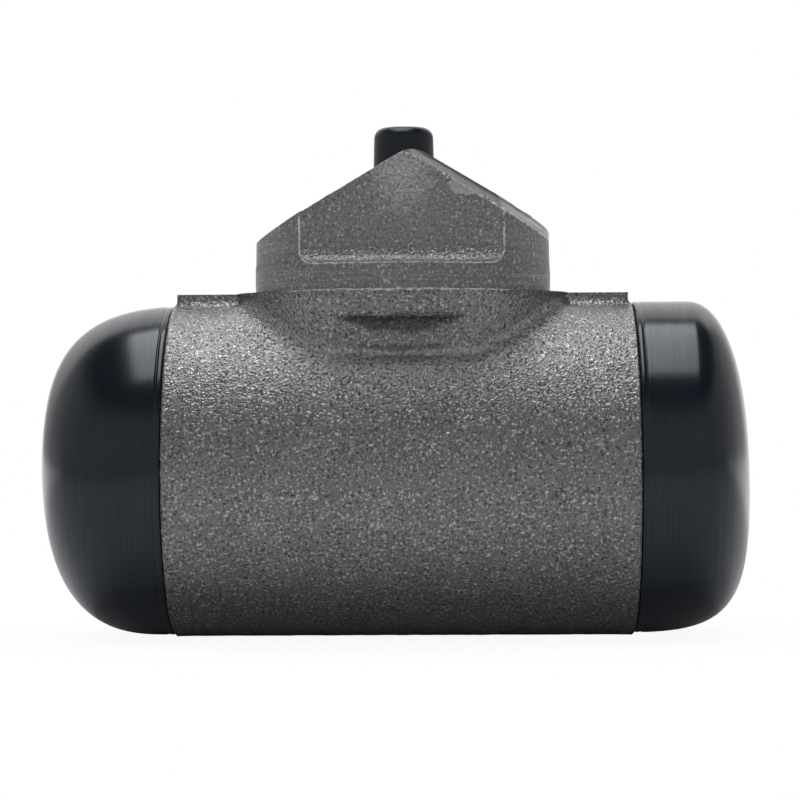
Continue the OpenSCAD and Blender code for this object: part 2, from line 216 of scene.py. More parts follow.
# The bowl's wall leans in below the seat's edge, most of all at the front, down to the barrel.
# Its foot is at FOOT_Z in the middle of the front and climbs by FOOT_RISE toward both ends.
FOOT_Z = -7.2
FOOT_RISE = 5.5
FOOT_HALF = 15.8
BOWL_LOW = -9
BOWL_HIGH = -0.15
BOWL_R = 18.5
LIP_R = 16.2
LIP_FRONT = 15.9
SEAT_R = 17.4
SEAT_FRONT = 15.97
SIDE_LEAN = 0.32
FRONT_LEAN = 0.42

foot_z = FOOT_Z + FOOT_RISE * np.clip(np.abs(p[:, 0]) / FOOT_HALF, 0, 1) ** 3
barrel_y = -np.sqrt(np.maximum(BARREL_R ** 2 - (p[:, 2] - AXIS_Z) ** 2, 0))
rim = (p[:, 1] < barrel_y - 0.02) & (p[:, 2] < 0.05) & (p[:, 2] > BOWL_LOW) & (r_spigot < BOWL_R)
front_share = rim * ramp(-p[:, 1], 6, 9)
pulled = front_share * 0.3 * np.maximum(r_spigot - LIP_R, 0) / np.maximum(r_spigot, 1e-6)
p[:, :2] *= 1 - pulled[:, None]
p[:, 1] += rim * 0.75 * np.maximum(-LIP_FRONT - p[:, 1], 0)
r_spigot = np.hypot(p[:, 0], p[:, 1])
bowl = rim & (p[:, 2] < BOWL_HIGH)
leant = np.minimum(1, (SEAT_R + SIDE_LEAN * p[:, 2]) / np.maximum(r_spigot, 1e-6))
leant_y = np.maximum(p[:, 1] * leant, -(SEAT_FRONT + FRONT_LEAN * p[:, 2]))
leant_y = np.minimum(leant_y, barrel_y)
p[:, 0] = np.where(bowl, p[:, 0] * leant, p[:, 0])
p[:, 1] = np.where(bowl, leant_y, p[:, 1])

# The cast corners are softened, most of all where the seat's bowl runs into the barrel
FOOT_ROUNDS = 10
CORNER_ROUNDS = 4
GABLE_SHARE = 0.35
back_zone = (np.abs(r_bore - BARREL_R) < 2.6) & (p[:, 2] > -9.5) & (p[:, 2] < -0.4) & (p[:, 1] > 0)
front_zone = ramp(np.abs(p[:, 2] - foot_z), 2.52, 0.72) * (p[:, 1] < 0) * (p[:, 2] < -0.6)
foot_weight = cast * (r_spigot < 23) * np.maximum(back_zone, front_zone)
corner_weight = cast * np.where(p[:, 2] > 3, GABLE_SHARE, 1.0)
for rounds, weight in ((FOOT_ROUNDS, foot_weight), (CORNER_ROUNDS, corner_weight)):
    for _ in range(rounds):
        for k in range(3):
            p[:, k] += 0.5 * weight * (neighbour_mean(p[:, k]) - p[:, k])

# The sand leaves its grain on what no tool has cut
GRAIN_DEPTH = 0.075
skin.vertices.foreach_set("co", (p * MM).ravel())
skin.update()
normals = np.empty(len(p) * 3)
skin.vertices.foreach_get("normal", normals)
rough = 0.55 * lattice_noise(p, 1.25) + 0.45 * lattice_noise(p + 31.7, 0.8)
p -= (cast * GRAIN_DEPTH * rough)[:, None] * normals.reshape(-1, 3)

# Under the seat's front the skin sinks back below a ragged overhang and comes out again lower down
HOLLOW_TOP = -2.6
HOLLOW_FOOT = -5.4
HOLLOW_HALF = 6.4
HOLLOW_DEPTH = 0.6
along_x = p * (1, 0, 0)
ripple = 0.4 * (lattice_noise(along_x, 0.8) - 0.5) + 0.3 * (lattice_noise(along_x + 9, 0.45) - 0.5)
under_z = p[:, 2] + ripple
sunk = ramp(under_z, HOLLOW_TOP, HOLLOW_TOP - 0.5) * ramp(under_z, HOLLOW_FOOT, HOLLOW_FOOT + 2)
sunk *= np.sqrt(np.clip(1 - (p[:, 0] / HOLLOW_HALF) ** 2, 0, 1))
p[:, 1] += HOLLOW_DEPTH * cast * sunk * (p[:, 1] < -12)
p = np.clip(p, *(np.array(corner) / MM for corner in cad_box))
skin.vertices.foreach_set("co", (p * MM).ravel())
skin.set_sharp_from_angle(angle=math.radians(38))
skin.update()


def store(mesh, name, values):
    """Keeps one number per point on the mesh for its material."""
    layer = mesh.attributes.new(name, "FLOAT", "POINT")
    layer.data.foreach_set("value", values.ravel().astype(np.float32))


# Painted shade darkens the bowl's middle, and painted light makes its flanks and the strip of barrel
# just below its foot paler
painted_bowl_shade = bowl * np.clip(1.15 - (p[:, 0] / 12.5) ** 2, 0, 1) * ramp(p[:, 2], -1.6, -3.1)
# Painted light: the bowl's flanks and the barrel just below its foot, which the bowl shades, are marked
# paler
pale = np.maximum(ramp(np.abs(p[:, 0]), 6, 10), ramp(p[:, 2], -5.6, -6.4))
pale *= (p[:, 1] < -4) * (p[:, 2] < -0.5) * (r_spigot < 19) * ramp(p[:, 2] - foot_z, -2.2, -1.2)
for name, values, rounds in (("painted_bowl_shade", painted_bowl_shade, 4), ("pale", pale, 8)):
    for _ in range(rounds):
        values = neighbour_mean(values)
    store(skin, name, values)


def piece(name, mesh, material, body, slot, *nodes):
    """A finished piece in the scene: its material and the body it rides on. Its slot is not used."""
    mesh.materials.clear()
    mesh.materials.append(material)
    mesh.polygons.foreach_set("use_smooth", [True] * len(mesh.polygons))
    mesh.polygons.foreach_set("material_index", [0] * len(mesh.polygons))
    obj = bpy.data.objects.new(name, mesh)
    scene.collection.objects.link(obj)
    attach(obj, body)
    if nodes:
        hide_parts(*nodes)
    return obj


def put(tree, kind, inputs=None, **settings):
    """Adds a node, sets its settings, and gives each named input a value or another node's output."""
    node = tree.nodes.new("ShaderNode" + kind)
    for key, value in settings.items():
        setattr(node, key, value)
    for key, value in (inputs or {}).items():
        if isinstance(value, bpy.types.NodeSocket):
            tree.links.new(value, node.inputs[key])
        else:
            node.inputs[key].default_value = value
    return node


def calc(tree, operation, *values):
    """A Math node's result on up to three values."""
    return put(tree, "Math", dict(enumerate(values)), operation=operation).outputs[0]


def scaled(tree, value, by, plus):
    """The value times a number, plus another."""
    return calc(tree, "MULTIPLY_ADD", value, by, plus)


def both(tree, mask, *others):
    """Mask of where all the masks are; a number among them weakens it."""
    for other in others:
        mask = calc(tree, "MULTIPLY", mask, other)
    return mask


def either(tree, mask, *others):
    """Mask of where any of the masks is."""
    for other in others:
        mask = calc(tree, "MAXIMUM", mask, other)
    return mask


def hypotenuse(tree, a, b):
    """The root of a^2 + b^2."""
    return calc(tree, "SQRT", calc(tree, "ADD", calc(tree, "POWER", a, 2.0), calc(tree, "POWER", b, 2.0)))


def stored(tree, name):
    """The number that store kept on the mesh under that name."""
    return put(tree, "Attribute", attribute_name=name).outputs["Fac"]


def rise(tree, value, low, high):
    """Mask that goes smoothly from 0 at low to 1 at high; high may be the smaller."""
    return put(tree, "MapRange", {"Value": value, "From Min": low, "From Max": high},
               interpolation_type="SMOOTHSTEP").outputs["Result"]


def mixed(tree, mask, low, high):
    """Colour that goes from low to high as the mask goes from 0 to 1."""
    return put(tree, "Mix", {"Factor": mask, 6: low, 7: high}, data_type="RGBA").outputs[2]


def grey(level):
    """A plain grey colour."""
    return (level, level, level, 1)


def noise(tree, vector, scale, detail=2.0, roughness=0.5):
    """Noise from 0 to 1 over a vector in millimetres."""
    return put(tree, "TexNoise", {"Vector": vector, "Scale": scale, "Detail": detail,
                                  "Roughness": roughness}).outputs["Fac"]


def stretched(tree, vector, scale):
    """The vector times a scale for each axis."""
    return put(tree, "VectorMath", {0: vector, 1: scale}, operation="MULTIPLY").outputs[0]


def new_material(name):
    """A node material: (material, its tree, its Principled shader, the point in millimetres)."""
    material = bpy.data.materials.new(name)
    material.use_nodes = True
    tree = material.node_tree
    shader = tree.nodes["Principled BSDF"]
    point = put(tree, "VectorMath", {0: put(tree, "TexCoord").outputs["Object"], "Scale": 1 / MM},
                operation="SCALE").outputs[0]
    return material, tree, shader, point


def set_surface(tree, shader, colour, roughness, metallic=0.0, height=None, depth=0.0):
    """Feeds the shader its colour and roughness, its share of metal, and a bump of the given depth."""
    tree.links.new(colour, shader.inputs["Base Color"])
    tree.links.new(roughness, shader.inputs["Roughness"])
    shader.inputs["Metallic"].default_value = metallic
    if height is not None:
        bump = put(tree, "Bump", {"Height": height, "Strength": 1.0, "Distance": depth * MM})
        tree.links.new(bump.outputs["Normal"], shader.inputs["Normal"])


def group(name, inputs, outputs):
    """An empty node group with float or vector inputs and float outputs: (group, its in and out nodes)."""
    tree = bpy.data.node_groups.new(name, "ShaderNodeTree")
    for key, kind in inputs:
        tree.interface.new_socket(key, in_out="INPUT", socket_type=kind)
    for key in outputs:
        tree.interface.new_socket(key, in_out="OUTPUT", socket_type="NodeSocketFloat")
    return tree, tree.nodes.new("NodeGroupInput"), tree.nodes.new("NodeGroupOutput")


# Tool marks: fine lines across one axis, broken up along the cut
tool_marks, entry, result = group("tool_marks", [("Point", "NodeSocketVector")], ["Height", "Tone"])
lines = noise(tool_marks, entry.outputs["Point"], 1.0, 2.0, 0.65)
broken = noise(tool_marks, stretched(tool_marks, entry.outputs["Point"], (0.5, 0.5, 0.25)), 1.0)
bright_lines = both(tool_marks, rise(tool_marks, lines, 0.3, 0.75), rise(tool_marks, broken, 0.2, 0.7))
tool_marks.links.new(lines, result.inputs["Height"])
tool_marks.links.new(bright_lines, result.inputs["Tone"])

# Sand grain: its height, with painted glints on the grain tops and painted shade in the pits between them
sand_grain, entry, result = group("sand_grain", [("Point", "NodeSocketVector")], ["Height", "PitShade", "Glint"])
coarse = noise(sand_grain, entry.outputs["Point"], 3.2, 1.0, 0.6)
fine = noise(sand_grain, entry.outputs["Point"], 6.0, 1.0, 0.6)
grains = scaled(sand_grain, coarse, 0.65, calc(sand_grain, "MULTIPLY", fine, 0.35))
sand_grain.links.new(grains, result.inputs["Height"])
sand_grain.links.new(rise(sand_grain, grains, 0.48, 0.32), result.inputs["PitShade"])
sand_grain.links.new(rise(sand_grain, grains, 0.54, 0.68), result.inputs["Glint"])

cast_iron, tree, shader, point = new_material("cast_iron")
axes = put(tree, "SeparateXYZ", {0: point}).outputs
gable_point = put(tree, "VectorRotate", {"Vector": point, "Angle": -GABLE_TURN},
                  rotation_type="Z_AXIS").outputs[0]
gable_axes = put(tree, "SeparateXYZ", {0: gable_point}).outputs
grain = put(tree, "Group", {"Point": point}, node_tree=sand_grain).outputs
along_cut = stretched(tree, point, (0.12, 0.12, 14.0))
marks = put(tree, "Group", {"Point": along_cut}, node_tree=tool_marks).outputs
patchy = noise(tree, point, 0.22, 3.0, 0.6)
wobble = calc(tree, "SUBTRACT", noise(tree, point, 0.9, 4.0, 0.7), 0.5)


def from_place(place):
    """The point as seen from a place in the gable's frame."""
    return put(tree, "VectorMath", {0: gable_point, 1: place}, operation="SUBTRACT").outputs[0]


# The gable's cast front is a flat with rounded lower corners, and off_flat is how far past its edge
# the point lies
FLAT_HALF = 10.65
FLAT_CORNER = 1.5
above = rise(tree, axes["Z"], 0.0, 0.04)
in_front = both(tree, rise(tree, gable_axes["Y"], -11.0, -11.3), above)
beside = calc(tree, "SUBTRACT", calc(tree, "ABSOLUTE", gable_axes["X"]), FLAT_HALF - FLAT_CORNER)
below = calc(tree, "SUBTRACT", PILOT_BAND + FLAT_CORNER, gable_axes["Z"])
corner = hypotenuse(tree, calc(tree, "MAXIMUM", beside, 0.0), calc(tree, "MAXIMUM", below, 0.0))
off_flat = calc(tree, "ADD", corner, calc(tree, "MINIMUM", calc(tree, "MAXIMUM", beside, below), 0.0))
off_flat = calc(tree, "SUBTRACT", off_flat, scaled(tree, wobble, 0.3, FLAT_CORNER))

# The machined surfaces: the spigot, the inlet face, the mounting face, the ends and the bore
radius = hypotenuse(tree, axes["X"], axes["Y"])
on_round = either(tree, rise(tree, radius, 15.46, 15.54), rise(tree, gable_axes["Z"], PILOT_BAND, 2.7))
off_front = both(tree, in_front, rise(tree, off_flat, -0.04, 0.04))
on_round = put(tree, "Mix", {"Factor": in_front, 2: on_round, 3: off_front}).outputs[0]
on_spigot = both(tree, on_round, above)
past_right = put(tree, "VectorMath", {0: from_place(RIDGE), 1: RIGHT_FACE}, operation="DOT_PRODUCT")
past_right = scaled(tree, wobble, 0.5, past_right.outputs["Value"])
on_right = rise(tree, past_right, -1.0, -0.86)
on_face = both(tree, rise(tree, axes["Z"], -0.06, -0.03), rise(tree, axes["Z"], 0.06, 0.03))
on_ends = rise(tree, calc(tree, "ABSOLUTE", axes["X"]), BARREL_END - 0.04, BARREL_END)
in_bore = rise(tree, hypotenuse(tree, axes["Y"], calc(tree, "SUBTRACT", axes["Z"], AXIS_Z)), 13.4, 13.0)
upright_cut = either(tree, on_spigot, on_right)
smooth = either(tree, upright_cut, on_face, on_ends, in_bore)

# Thin bright lines are painted along the edges as highlights
ragged = rise(tree, noise(tree, point, 1.6, 3.0, 0.65), 0.36, 0.56)
flat_edge = both(tree, rise(tree, calc(tree, "ABSOLUTE", off_flat), 0.13, 0.04), in_front)
edge_z = scaled(tree, wobble, 0.3, axes["Z"])
seat_edge = both(tree, rise(tree, edge_z, -0.15, -0.08), rise(tree, edge_z, 0.13, 0.06),
                 rise(tree, axes["Y"], -12.0, -14.0))
right_edge = both(tree, rise(tree, past_right, -1.16, -1.02), rise(tree, past_right, -0.84, -0.94),
                  rise(tree, axes["X"], 3.0, 8.0))
edge_highlight = both(tree, either(tree, right_edge, flat_edge, seat_edge), scaled(tree, ragged, 0.85, 0.15))


def patch(centre, half, ragged_by, full_at):
    """Mask of an upright ellipse of the gable's front, its outline broken up by noise, full from
    the share full_at of its size inward."""
    offset = stretched(tree, from_place(centre), (1 / half[0], 0.0, 1 / half[1]))
    size = put(tree, "VectorMath", {0: offset}, operation="LENGTH").outputs["Value"]
    uneven = calc(tree, "SUBTRACT", noise(tree, point, 1.1, 3.0, 0.6), 0.5)
    return both(tree, rise(tree, scaled(tree, uneven, ragged_by, size), 1.05, full_at), in_front)


# The front has a broken-out patch under the inlet face, a scuff below the ridge, and a scraped
# strip over the ledge at its foot
broken_out = patch((6.5, 0, 10.9), (1.7, 1.0), 1.6, 0.9)
scuffed = patch((-0.1, 0, 12.4), (4.4, 5.6), 1.4, 0.1)
scraped = both(tree, rise(tree, scaled(tree, wobble, 2.4, axes["Z"]), 3.8, 3.3), in_front)
worn = either(tree, both(tree, scuffed, 0.95), both(tree, scraped, 0.35))
rubbed = scaled(tree, rise(tree, grain["Height"], 0.4, 0.66), 0.7, 0.3)
ledge = both(tree, rise(tree, axes["Z"], 4.2, 3.5), in_front)

# Across the bowl's front run two creases, painted dark as shade, the upper one deep
waves = noise(tree, stretched(tree, point, (2.0, 0.0, 2.2)), 1.0, 5.0, 0.7)
crease_z = scaled(tree, calc(tree, "SUBTRACT", waves, 0.5), 1.9, axes["Z"])


def crease(top, depth, half_width):
    """Mask of a ragged line across the bowl's front, from its top edge down, thinning out to both ends."""
    span = calc(tree, "POWER", calc(tree, "DIVIDE", axes["X"], half_width), 2.0)
    span = calc(tree, "MAXIMUM", calc(tree, "SUBTRACT", 1.0, span), 0.02)
    down = calc(tree, "DIVIDE", calc(tree, "SUBTRACT", top, crease_z), span)
    return both(tree, rise(tree, down, 0.0, 0.2), rise(tree, down, depth, 0.55 * depth),
                rise(tree, axes["Y"], -11.0, -12.0))


crease_shade = either(tree, crease(-2.65, 2.15, 6.8), both(tree, crease(-5.6, 1.0, 5.4), 0.7))

# Colours: the cast skin with its painted pit shade, painted glints and wear, with painted light and shade
# over it, then the cuts, then the painted edge highlights
painted_bowl_shade = stored(tree, "painted_bowl_shade")
pale = stored(tree, "pale")
cast_tone = mixed(tree, rise(tree, patchy, 0.3, 0.7), (0.245, 0.2445, 0.243, 1), (0.285, 0.2845, 0.2825, 1))
# Painted light: the bowl's flanks and the strip below its foot are made paler
cast_tone = mixed(tree, pale, cast_tone, (0.42, 0.419, 0.416, 1))
# Painted shade in the grain's pits and painted glints on the grain's tops
cast_tone = mixed(tree, grain["PitShade"], cast_tone, (0.075, 0.0745, 0.074, 1))
cast_tone = mixed(tree, grain["Glint"], cast_tone, grey(0.76))
cast_tone = mixed(tree, both(tree, worn, rubbed), cast_tone, grey(0.86))
# Painted light: the gable's front flat is made lighter than the rest of the cast skin
cast_tone = mixed(tree, both(tree, in_front, 0.3), cast_tone, (0.34, 0.34, 0.338, 1))
# Painted shade along the ledge at the front flat's foot
cast_tone = mixed(tree, both(tree, ledge, 0.35), cast_tone, grey(0.08))
# Painted shade: the bowl's middle under the seat is darkened
cast_tone = mixed(tree, both(tree, painted_bowl_shade, 0.2), cast_tone, grey(0.07))
# Painted shade in the creases under the seat
cast_tone = mixed(tree, both(tree, crease_shade, 0.7), cast_tone, grey(0.03))
cut_tone = mixed(tree, marks["Tone"], (0.22, 0.222, 0.232, 1), (0.38, 0.382, 0.39, 1))
# Painted glints and painted pit shade on the cut surfaces too
cut_tone = mixed(tree, both(tree, grain["Glint"], 0.85), cut_tone, (0.68, 0.68, 0.69, 1))
cut_tone = mixed(tree, both(tree, grain["PitShade"], 0.6), cut_tone, (0.12, 0.12, 0.125, 1))
# The milled inlet face: the strip just below its plane is painted bright as a highlight, the face itself
# darker
milled_tone_and_highlight = mixed(tree, rise(tree, past_right, -0.2, -0.45), (0.26, 0.262, 0.27, 1),
                    (0.7, 0.702, 0.71, 1))
cut_tone = mixed(tree, both(tree, on_right, rise(tree, axes["X"], 0.5, 1.5)), cut_tone, milled_tone_and_highlight)
tone = mixed(tree, smooth, cast_tone, cut_tone)
tone = mixed(tree, both(tree, broken_out, 0.65), tone, (0.66, 0.665, 0.67, 1))
# Painted highlights along the edges
tone = mixed(tree, edge_highlight, tone, grey(0.95))
roughness = put(tree, "MapRange", {"Value": smooth, "To Min": 0.32, "To Max": 0.38}).outputs["Result"]
evened = either(tree, smooth, both(tree, broken_out, 0.8), both(tree, ledge, 0.25))
grain_height = both(tree, grain["Height"], scaled(tree, evened, -0.75, 1.0))
height = calc(tree, "ADD", grain_height, both(tree, marks["Height"], upright_cut, 0.04))
set_surface(tree, shader, tone, roughness, 0.8, height, 0.2)
piece("casting", skin, cast_iron, "cylinder", "casting", "cylinder_body")

# Inlet thread
# The port is tapped for a brake pipe's nut, 24 turns to the inch. The thread is one helical ridge
# standing in from the port's wall, fading out at both ends.
THREAD_PITCH = 25.4 / 24
THREAD_FROM = -9.6
THREAD_TO = -0.6
THREAD_ROOT_R = PORT_R + 0.04
THREAD_CREST_R = PORT_R - 0.5
STEPS_PER_TURN = 72


def helical_ridge(root_r, crest_r, pitch, low, high):
    """Closed ridge along the helix z = low + pitch * turn, with a V section from root_r to crest_r
    that sinks back to the root over the first and last half turn. Points [step, corner]."""
    turns = (high - low) / pitch
    turn = np.linspace(0, turns, int(turns * STEPS_PER_TURN))[:, None]
    full = np.clip(np.minimum(turn, turn[-1] - turn) / 0.5, 0.02, 1)
    corner_r = np.array([root_r, crest_r, crest_r, root_r])
    corner_z = np.array([-0.44, -0.06, 0.06, 0.44]) * pitch
    r = root_r + (corner_r - root_r) * full
    z = low + pitch * turn + corner_z * full
    angle = 2 * np.pi * turn
    return np.stack([r * np.cos(angle), r * np.sin(angle), z], axis=2)


def outward(mesh):
    """The mesh with every face pointing out of the closed form."""
    net = bmesh.new()
    net.from_mesh(mesh)
    bmesh.ops.remove_doubles(net, verts=net.verts, dist=1e-9)
    bmesh.ops.recalc_face_normals(net, faces=net.faces)
    net.to_mesh(mesh)
    net.free()
    mesh.set_sharp_from_angle(angle=math.radians(50))
    return mesh


def strip_mesh(name, points):
    """Mesh of a closed section swept along an open path, with its two ends capped."""
    steps, sides = points.shape[:2]
    index = np.arange(steps * sides).reshape(steps, sides)
    following = np.roll(index, -1, axis=1)
    quads = np.stack([index[:-1], following[:-1], following[1:], index[1:]], axis=2)
    faces = quads.reshape(-1, 4).tolist() + [index[0].tolist(), index[-1, ::-1].tolist()]
    mesh = bpy.data.meshes.new(name)
    mesh.from_pydata((points.reshape(-1, 3) * MM).tolist(), [], faces)
    return outward(mesh)


ridge = helical_ridge(THREAD_ROOT_R, THREAD_CREST_R, THREAD_PITCH, THREAD_FROM, THREAD_TO)
port_across = np.cross((0, 1, 0), RIGHT_FACE)
port_across /= np.linalg.norm(port_across)
port_axes = np.stack([port_across, np.cross(RIGHT_FACE, port_across), RIGHT_FACE])
turn_back = np.array([[math.cos(GABLE_TURN), math.sin(GABLE_TURN), 0],
                      [-math.sin(GABLE_TURN), math.cos(GABLE_TURN), 0], [0, 0, 1]])
ridge = (ridge @ port_axes + PORT_MOUTH) @ turn_back
cut_iron, tree, shader, point = new_material("cut_iron")
tone = mixed(tree, noise(tree, point, 2.5, 3.0), (0.16, 0.16, 0.165, 1), (0.3, 0.3, 0.305, 1))
set_surface(tree, shader, tone, scaled(tree, noise(tree, point, 6.0), 0.2, 0.25), 0.8)
piece("inlet_thread", strip_mesh("inlet_thread", ridge), cut_iron, "cylinder", "casting")

# Return spring
# One coil of drawn steel wire between the two expanders, with a dead turn at each end. It is drawn
# as two halves that meet in the middle.
SPRING_LEFT = -15.9651
SPRING_RIGHT = 15.2698
COIL_R = 5.3
WIRE_R = 0.55
WIRE_SIDES = 14
OPEN_TURNS = 6
DEAD_PITCH = 2 * WIRE_R + 0.033
HALF_STEPS = 220


def wire_along(turn):
    """Helix with a dead turn at each end: (points [turn, side] of its round wire, length along it)."""
    first, last = SPRING_LEFT + WIRE_R, SPRING_RIGHT - WIRE_R
    open_pitch = (last - first - 2 * DEAD_PITCH) / OPEN_TURNS
    opened = np.clip(turn - 1, 0, OPEN_TURNS)
    centre_x = first + DEAD_PITCH * (turn - opened) + open_pitch * opened
    angle = 2 * np.pi * turn[:, None]
    side = np.linspace(0, 2 * np.pi, WIRE_SIDES, endpoint=False)[None, :]
    x = centre_x[:, None] + WIRE_R * np.sin(side)
    r = COIL_R + WIRE_R * np.cos(side)
    points = np.stack([x, r * np.cos(angle), AXIS_Z + r * np.sin(angle)], axis=2)
    return points, np.broadcast_to(angle * COIL_R, x.shape)


def run_vector(tree, run, scale, point, spread):
    """Vector for streaks: its X follows a run times a scale, and the point is added by its spread."""
    along = put(tree, "CombineXYZ", {"X": calc(tree, "MULTIPLY", run, scale)}).outputs[0]
    aside = stretched(tree, point, spread)
    return put(tree, "VectorMath", {0: along, 1: aside}, operation="ADD").outputs[0]


spring_wire, tree, shader, point = new_material("spring_wire")
drawn = run_vector(tree, stored(tree, "along"), 0.06, point, (5.0, 2.0, 2.0))
streaks = noise(tree, drawn, 1.0, 3.0, 0.6)
tone = mixed(tree, streaks, (0.3, 0.3, 0.31, 1), (0.52, 0.52, 0.53, 1))
set_surface(tree, shader, tone, scaled(tree, streaks, 0.25, 0.2), 1.0, streaks, 0.01)
half_turns = OPEN_TURNS / 2 + 1
for side, start in (("left", 0.0), ("right", half_turns)):
    points, along = wire_along(np.linspace(start, start + half_turns, HALF_STEPS))
    mesh = strip_mesh("spring_" + side, points)
    store(mesh, "along", along)
    spring_half = piece("spring_" + side, mesh, spring_wire, "cylinder", "spring_wire", "return_spring")
    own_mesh(spring_half)

# Expanders, cups and pistons
# Each side has a plated sheet dish that spreads the cup's lip, a moulded rubber cup that seals the
# bore, and a turned aluminium piston behind them. The solids have their true shapes, so they stay.


def dress(material, *names):
    """Gives the solids' own nodes a material."""
    for name in names:
        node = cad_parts[name]
        node.data.materials.clear()
        node.data.materials.append(material)


plated_sheet, tree, shader, point = new_material("plated_sheet")
flakes = noise(tree, point, 1.1, 4.0, 0.65)
tone = mixed(tree, flakes, (0.42, 0.39, 0.28, 1), (0.6, 0.57, 0.46, 1))
set_surface(tree, shader, tone, scaled(tree, flakes, 0.3, 0.18), 1.0)
dress(plated_sheet, "expander_left", "expander_right")

cup_rubber, tree, shader, point = new_material("cup_rubber")
mottle = noise(tree, point, 0.8, 3.0)
tone = mixed(tree, mottle, (0.014, 0.014, 0.015, 1), (0.024, 0.024, 0.025, 1))
set_surface(tree, shader, tone, scaled(tree, mottle, 0.2, 0.3), 0.0, noise(tree, point, 4.0), 0.01)
dress(cup_rubber, "cup_left", "cup_right")

turned_aluminium, tree, shader, point = new_material("turned_aluminium")
axes = put(tree, "SeparateXYZ", {0: point}).outputs
from_axis = hypotenuse(tree, axes["Y"], calc(tree, "SUBTRACT", axes["Z"], AXIS_Z))
tool_path = calc(tree, "ADD", axes["X"], from_axis)
lathe = noise(tree, run_vector(tree, tool_path, 6.0, point, (0.0, 0.05, 0.05)), 1.0, 2.0, 0.6)
tone = mixed(tree, lathe, (0.6, 0.61, 0.62, 1), (0.76, 0.77, 0.78, 1))
set_surface(tree, shader, tone, scaled(tree, lathe, 0.2, 0.22), 1.0, lathe, 0.015)
dress(turned_aluminium, "piston_left", "piston_right")

# Boots
# Each boot is a moulded rubber bellows end: its bead snaps into the collar's groove, its rim
# butts on the barrel, and its domed end has a hole for the shoe's link.
BOOT_FIT = 0.05
BOOT_HOLE_R = 5.0
BOOT_SIDES = 240
DOME_STEPS = 60
RIM_X = BARREL_END + BOOT_FIT
RIM_W = 1.4
INNER_R = 15.85
INNER_POWER = 2.4
INNER_STEPS = 24
INNER_START = 0.7
COLLAR_END = BARREL_END + 5.0
GROOVE_FROM = BARREL_END + 1.5
GROOVE_W = 2.0

# The rim's section, with a fine groove round it and a rounded edge at the barrel: rows of the
# distance from the rim's face and the drop below the skirt
RIM_ROWS = np.array([[1.0, 0.0], [0.84, 0.01], [0.76, 0.04], [0.7, 0.08], [0.64, 0.08], [0.58, 0.04],
                     [0.5, 0.01], [0.3, 0.0], [0.14, 0.02], [0.05, 0.08], [0.0, 0.2]])


def boot_surface(tip_x, boot_r, lift, top, bottom, lag, inner_tip, inner_round):
    """Closed boot skin, one profile per angle about the bore. Its outer end is the superellipse
    ((L - e) / L)^P + (r / R)^P = 1 at a distance e from the tip, and L and P go from the top's
    values to the bottom's by ((1 - cos angle) / 2)^lag. The outer skin sits a little high on the
    collar, by lift. The inner end is such a curve too, the same all round. Returns points
    [angle, step] and the run along each profile."""
    angle = np.linspace(0, 2 * np.pi, BOOT_SIDES, endpoint=False)[:, None]
    share = ((1 - np.cos(angle)) / 2) ** lag
    length, power = (a + (b - a) * share for a, b in zip(top, bottom))
    start = np.arcsin((BOOT_HOLE_R / boot_r) ** (power / 2))
    last = np.clip((tip_x - RIM_X - RIM_W) / length, 0, 1)
    stop = np.arccos((1 - last) ** (power / 2))
    along = start + (stop - start) * np.linspace(0, 1, DOME_STEPS)[None, :]
    dome_r = boot_r * np.sin(along) ** (2 / power)
    dome_x = tip_x - length * (1 - np.cos(along) ** (2 / power))
    rim_r = dome_r[:, -1:] - RIM_ROWS[None, :, 1]
    rim_x = np.broadcast_to(RIM_X + RIM_ROWS[:, 0], rim_r.shape)

    grip, bead = COLLAR_R + BOOT_FIT, GROOVE_R + BOOT_FIT
    bead_from, bead_to = GROOVE_FROM + BOOT_FIT, GROOVE_FROM + GROOVE_W - BOOT_FIT
    hole_e = inner_round * (1 - (1 - (BOOT_HOLE_R / INNER_R) ** INNER_POWER) ** (1 / INNER_POWER))
    end_e = min(inner_round, inner_tip - COLLAR_END - BOOT_FIT - INNER_START)
    inner_e = hole_e + (end_e - hole_e) * np.linspace(1, 0, INNER_STEPS) ** 2
    inner_r = INNER_R * (1 - (1 - inner_e / inner_round) ** INNER_POWER) ** (1 / INNER_POWER)
    seat = [(grip, RIM_X), (grip, bead_from), (bead, bead_from), (bead, bead_to), (grip, bead_to),
            (grip, COLLAR_END + BOOT_FIT)]
    inner = np.vstack([seat, np.stack([inner_r, inner_tip - inner_e], axis=1)])
    inner_shape = (BOOT_SIDES, len(inner))
    r = np.hstack([dome_r, rim_r, np.broadcast_to(inner[:, 0], inner_shape)])
    x = np.hstack([dome_x, rim_x, np.broadcast_to(inner[:, 1], inner_shape)])

    step = np.hypot(np.diff(r, axis=1, prepend=r[:, :1]), np.diff(x, axis=1, prepend=x[:, :1]))
    points = np.stack([x, -r * np.sin(angle), AXIS_Z + r * np.cos(angle)], axis=2)
    points[:, :DOME_STEPS + len(RIM_ROWS), 2] += lift
    return points, np.cumsum(step, axis=1)


def closed_mesh(name, points, mirror=False):
    """Mesh of a grid that closes on itself both ways, its faces turned outwards."""
    rows, columns = points.shape[:2]
    if mirror:
        points = points * (-1, 1, 1)
    index = np.arange(rows * columns).reshape(rows, columns)
    down, right = np.roll(index, -1, axis=0), np.roll(index, -1, axis=1)
    quads = np.stack([index, right, np.roll(down, -1, axis=1), down], axis=2).reshape(-1, 4)
    mesh = bpy.data.meshes.new(name)
    mesh.from_pydata((points.reshape(-1, 3) * MM).tolist(), [], quads.tolist())
    return outward(mesh)


